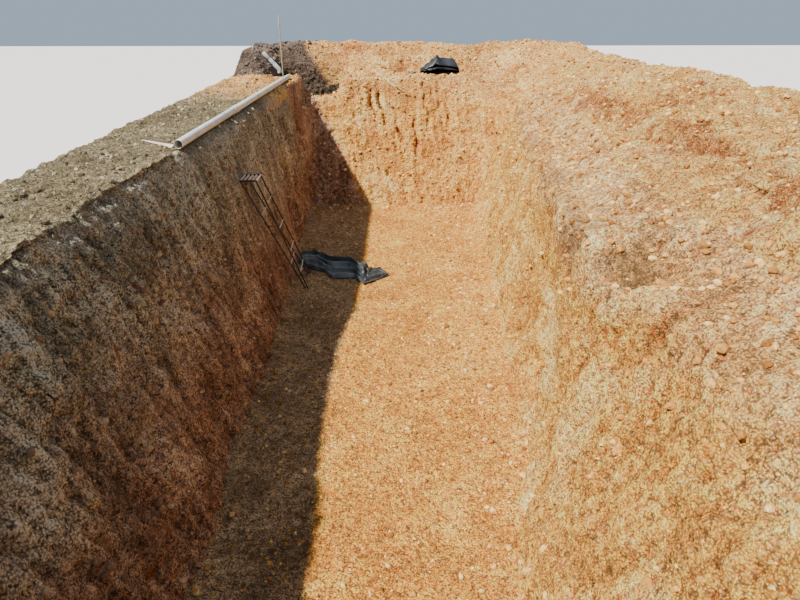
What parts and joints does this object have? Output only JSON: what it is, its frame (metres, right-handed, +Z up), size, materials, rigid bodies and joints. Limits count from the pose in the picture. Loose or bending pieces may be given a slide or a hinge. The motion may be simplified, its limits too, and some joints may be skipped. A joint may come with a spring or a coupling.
{
  "type": "biogas digester pit",
  "caption": "Freshly dug earth pit for a bag biogas digester, with steep clay walls, spoil banks, a second pit behind a saddle, inlet pipe, leaning step stand and black membrane.",
  "frame": {"origin": "middle of the underside of the whole block of earth", "axes": "+Y along the pit, away from its near end, +X to the right seen from the near end, +Z up"},
  "size_m": [9.6, 20.9998, 4.75],
  "materials": {
    "floor_earth": "compacted fine gravelly clay, dry and dusty",
    "left_earth": "dark red-brown laterite clay scraped by bucket teeth",
    "right_earth": "yellow-orange clay with scrape marks and crumbled patches",
    "far_earth": "orange-red laterite clay with upright scrape marks",
    "topsoil": "dark topsoil with roots and crumbs",
    "spoil_earth": "loose dug clay in clods and crumbs",
    "pipe_plastic": "grey-white pipe plastic, dusty, with faint blue-green bands",
    "stand_steel": "thin dark steel tube with red-brown primer and rust",
    "slat_steel": "worn pale steel with rust and earth on it",
    "membrane": "black plastic membrane with a soft sheen, folded and dusty",
    "wood": "bare weathered bamboo and stick"
  },
  "bodies": {
    "root": {"pit_floor_near": "floor_earth", "pit_floor_middle": "floor_earth", "pit_floor_far": "floor_earth", "left_wall_near": "left_earth", "left_wall_middle": "left_earth", "left_wall_far": "left_earth", "left_topsoil_near": "topsoil", "left_topsoil_far": "topsoil", "right_wall_near": "right_earth", "right_wall_undercut": "right_earth", "right_wall_middle": "right_earth", "right_wall_far": "right_earth", "near_wall": "far_earth", "far_wall_left": "far_earth", "far_wall_saddle": "far_earth", "far_wall_middle": "far_earth", "far_wall_right": "far_earth", "second_pit_left_bank": "left_earth", "second_pit_floor": "left_earth", "second_pit_right_bank": "far_earth", "second_pit_far_bank": "far_earth", "right_spoil_near": "spoil_earth", "right_spoil_middle": "spoil_earth", "right_spoil_far": "spoil_earth", "rear_spoil_left": "spoil_earth", "rear_spoil_middle": "spoil_earth", "rear_spoil_right": "spoil_earth", "inlet_pipe_near": "pipe_plastic", "inlet_pipe_far": "pipe_plastic", "inlet_pipe_socket": "pipe_plastic", "pipe_offcut": "pipe_plastic", "drain_pipe_upper": "pipe_plastic", "drain_pipe_lower": "pipe_plastic", "drain_pipe_elbow": "pipe_plastic", "stand_front_frame": "slat_steel", "stand_rear_frame": "stand_steel", "stand_platform": "slat_steel", "stand_tie_bolt": "stand_steel", "membrane_sheet": "membrane", "membrane_bundle": "membrane", "membrane_scrap": "membrane", "marker_stake": "wood", "wooden_stick": "wood"}
  },
  "joints": []
}
